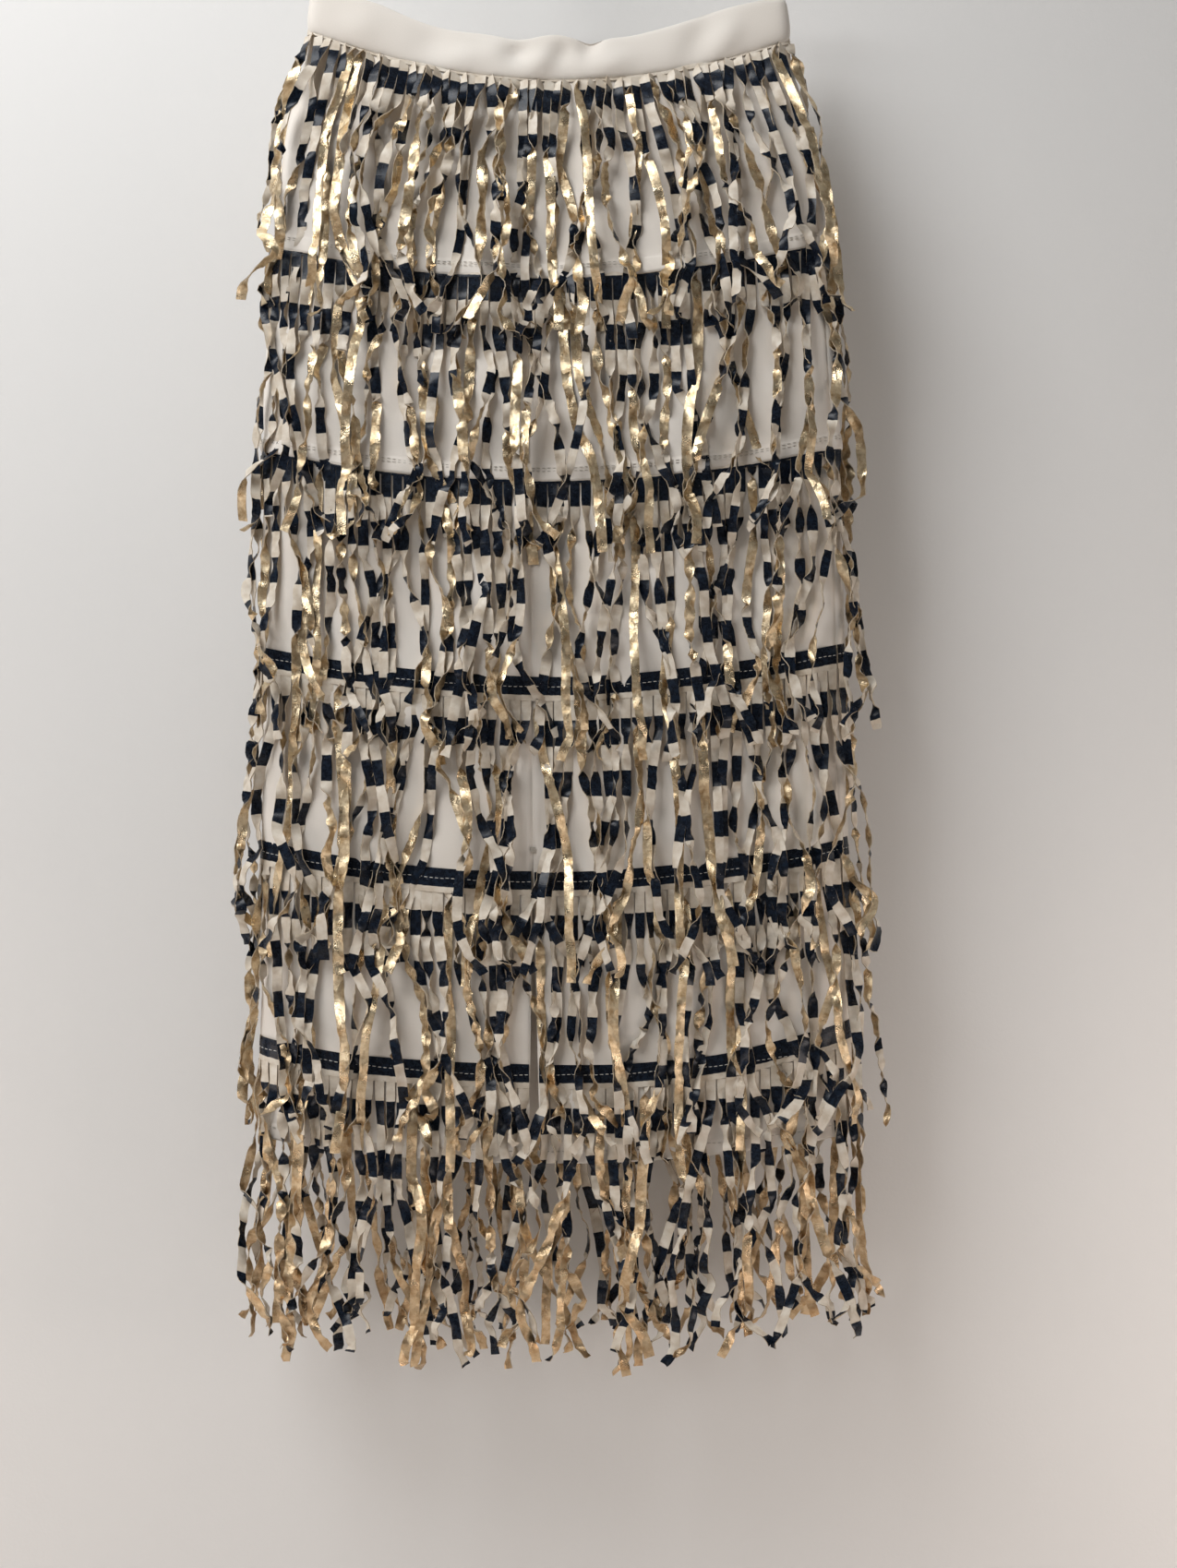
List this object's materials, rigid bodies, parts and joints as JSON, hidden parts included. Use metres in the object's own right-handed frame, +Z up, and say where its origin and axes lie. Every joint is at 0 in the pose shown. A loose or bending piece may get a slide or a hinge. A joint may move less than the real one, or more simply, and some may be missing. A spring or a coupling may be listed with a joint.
{
  "type": "tiered fringe skirt on a hanger",
  "caption": "Long skirt with tiers of cut leather fringe over ivory cloth panels, hung flat by two ribbon loops from a plain hanger.",
  "frame": {"origin": "the point under the crook of the hanger's hook that rests on a rail", "axes": "+Z up, the shown face of the skirt looks along -Y, +X to the right of someone who faces it"},
  "size_m": [0.4876, 0.0988, 1.092],
  "materials": {
    "cloth": "matte ivory crepe",
    "fringe_leather": "cut strips, face in navy and ivory blocks, crinkled gold foil reverse",
    "ribbon": "narrow ivory satin ribbon",
    "hanger_metal": "bright wire and rod"
  },
  "bodies": {
    "root": {"hanger_hook": "hanger_metal", "hanger_bar": "hanger_metal", "hanger_loop_left": "ribbon", "hanger_loop_right": "ribbon", "waistband_front": "cloth", "waistband_back": "cloth", "yoke_front_left": "cloth", "yoke_front_right": "cloth", "yoke_back": "cloth", "mid_panel_front_left": "cloth", "mid_panel_front_right": "cloth", "mid_panel_back": "cloth", "lower_panel_front_left": "cloth", "lower_panel_front_right": "cloth", "lower_panel_back": "cloth", "fringe_waist_front": "fringe_leather", "fringe_waist_back": "fringe_leather", "fringe_hip_front": "fringe_leather", "fringe_hip_back": "fringe_leather", "fringe_thigh_front": "fringe_leather", "fringe_thigh_back": "fringe_leather", "fringe_knee_front": "fringe_leather", "fringe_knee_back": "fringe_leather", "fringe_calf_front_left": "fringe_leather", "fringe_calf_front_right": "fringe_leather", "fringe_calf_back": "fringe_leather", "fringe_hem_front_left": "fringe_leather", "fringe_hem_front_right": "fringe_leather", "fringe_hem_back": "fringe_leather"}
  },
  "joints": []
}
